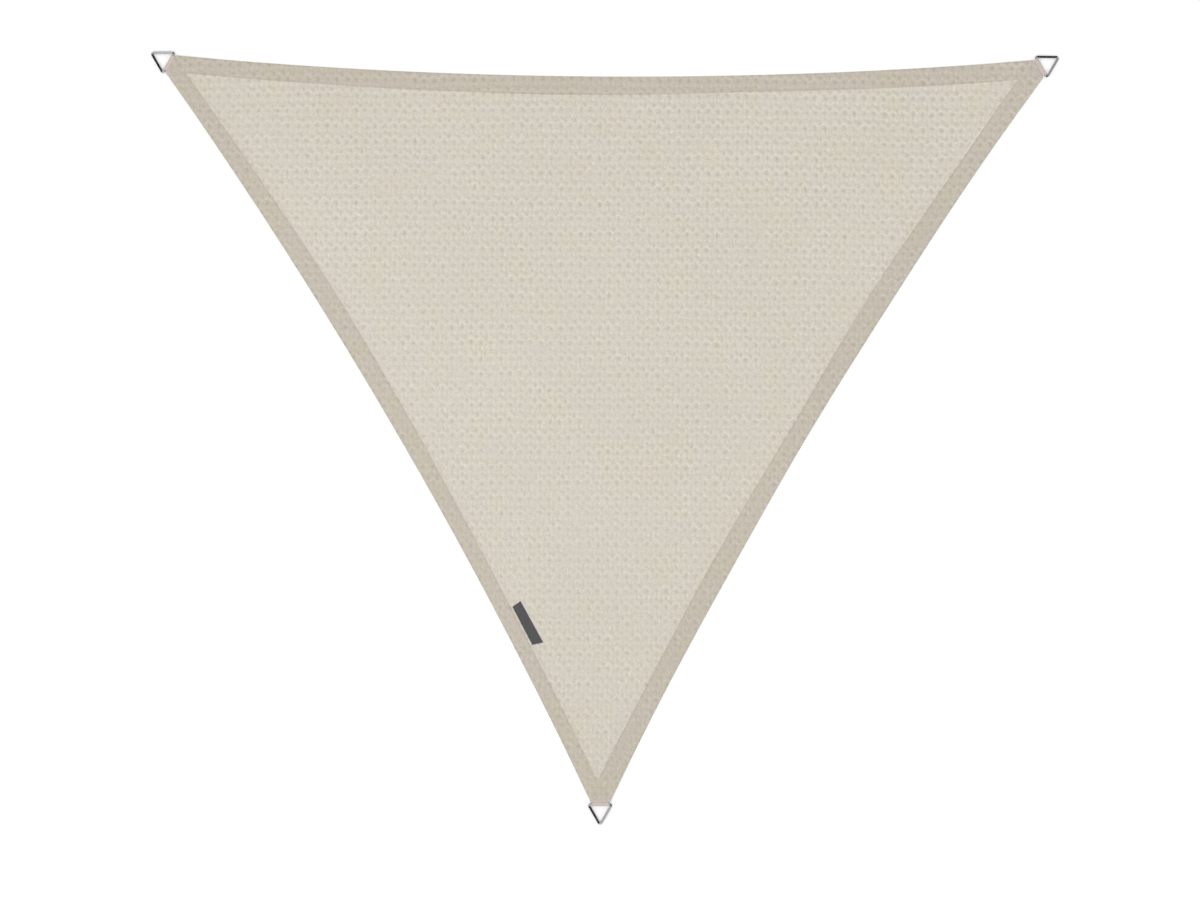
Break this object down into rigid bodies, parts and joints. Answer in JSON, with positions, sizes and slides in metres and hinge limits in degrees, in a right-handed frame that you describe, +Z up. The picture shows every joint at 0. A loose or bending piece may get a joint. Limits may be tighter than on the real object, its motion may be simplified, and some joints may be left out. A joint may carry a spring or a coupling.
{
  "type": "shade sail",
  "caption": "Triangular knitted shade sail with hollow-cut hemmed edges, laid flat, a wire ring strapped to each corner and a bare side label.",
  "frame": {"origin": "below the middle of the whole part's box, on the surface that the sail lies on", "axes": "+X along the edge between rings 1 and 2, +Y towards that edge, +Z up out of the cloth's face; ring 3 is the corner towards -Y"},
  "size_m": [2.528, 2.1478, 0.009],
  "materials": {
    "cloth": "matt knitted polyethylene shade cloth, warm off-white, a little darker where the hem doubles it",
    "strap": "flat woven polyester webbing, pinkish beige",
    "ring_metal": "polished stainless steel wire",
    "label": "dark grey woven label, bare"
  },
  "bodies": {
    "root": {"sail_cloth": "cloth", "webbing_1": "strap", "webbing_2": "strap", "webbing_3": "strap", "ring_1": "ring_metal", "ring_2": "ring_metal", "ring_3": "ring_metal", "side_label": "label"}
  },
  "joints": []
}
